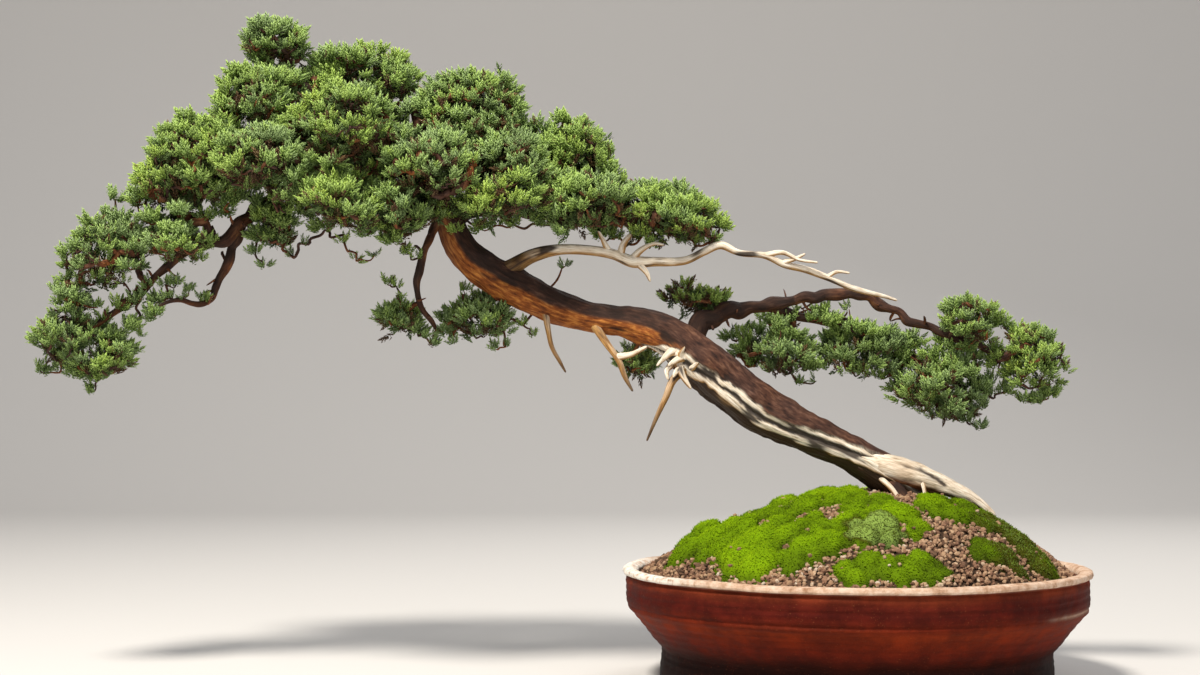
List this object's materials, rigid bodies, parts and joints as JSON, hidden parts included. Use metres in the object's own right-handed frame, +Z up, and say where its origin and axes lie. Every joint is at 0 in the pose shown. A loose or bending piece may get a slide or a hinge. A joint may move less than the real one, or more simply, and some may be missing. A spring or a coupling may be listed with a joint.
{
  "type": "bonsai tree in a pot",
  "caption": "Slanting juniper bonsai with bleached deadwood and cascading foliage pads, rooted in a mossy soil mound in a round shallow clay pot.",
  "frame": {"origin": "middle of the pot's flat underside", "axes": "+Z up the pot; +X to the side where the tree leans back over the pot, with the crown and the cascade on the -X side; +Y to the back of the tree"},
  "size_m": [0.8425, 0.372, 0.531],
  "materials": {
    "clay": "unglazed reddish brown terracotta, matte, darker and wet-looking at the foot, pale peach lip with lime deposit",
    "soil": "loose akadama and gravel grains, tan to pinkish brown, 2.5 to 4 mm",
    "moss": "short velvety cushions, mid to yellow green with brown patches",
    "bark": "flaky juniper bark, dark brown above and red-brown below",
    "deadwood": "bleached cream deadwood with a fine long grain and dark cracks",
    "foliage": "dense scale and needle juniper tufts, mid green with pale tips",
    "screen": "black plastic mesh"
  },
  "bodies": {
    "root": {"branch_back_left": "bark", "branch_back_right": "bark", "branch_cascade_low": "bark", "branch_crown": "bark", "branch_hanging": "bark", "branch_left": "bark", "branch_right": "bark", "branch_right_high": "bark", "branch_right_low": "bark", "branch_upright": "bark", "drain_screen_left": "screen", "drain_screen_right": "screen", "foliage_apex": "foliage", "foliage_apex_left": "foliage", "foliage_back_centre": "foliage", "foliage_back_left": "foliage", "foliage_back_right": "foliage", "foliage_back_shoulder": "foliage", "foliage_cascade_inner": "foliage", "foliage_cascade_low": "foliage", "foliage_cascade_tip": "foliage", "foliage_cascade_upper": "foliage", "foliage_centre_front": "foliage", "foliage_centre_high": "foliage", "foliage_centre_low": "foliage", "foliage_crown_back": "foliage", "foliage_crown_front": "foliage", "foliage_hanging_left": "foliage", "foliage_hanging_right": "foliage", "foliage_jin_tuft": "foliage", "foliage_left_front": "foliage", "foliage_left_shoulder": "foliage", "foliage_mid_low": "foliage", "foliage_mid_right": "foliage", "foliage_right_crest": "foliage", "foliage_right_dome": "foliage", "foliage_right_end": "foliage", "foliage_right_shelf": "foliage", "foliage_right_tip": "foliage", "foliage_saddle": "foliage", "foliage_skirt_end": "foliage", "foliage_skirt_mid": "foliage", "foliage_skirt_near": "foliage", "foliage_under_left": "foliage", "foliage_upper_dome": "foliage", "jin_fork": "deadwood", "jin_hook": "deadwood", "jin_long": "deadwood", "jin_spike": "deadwood", "moss_back": "moss", "moss_centre": "moss", "moss_crest_left": "moss", "moss_front": "moss", "moss_left": "moss", "moss_left_front": "moss", "moss_right": "moss", "moss_right_flank": "moss", "pot": "clay", "soil": "soil", "trunk": "bark"}
  },
  "joints": []
}
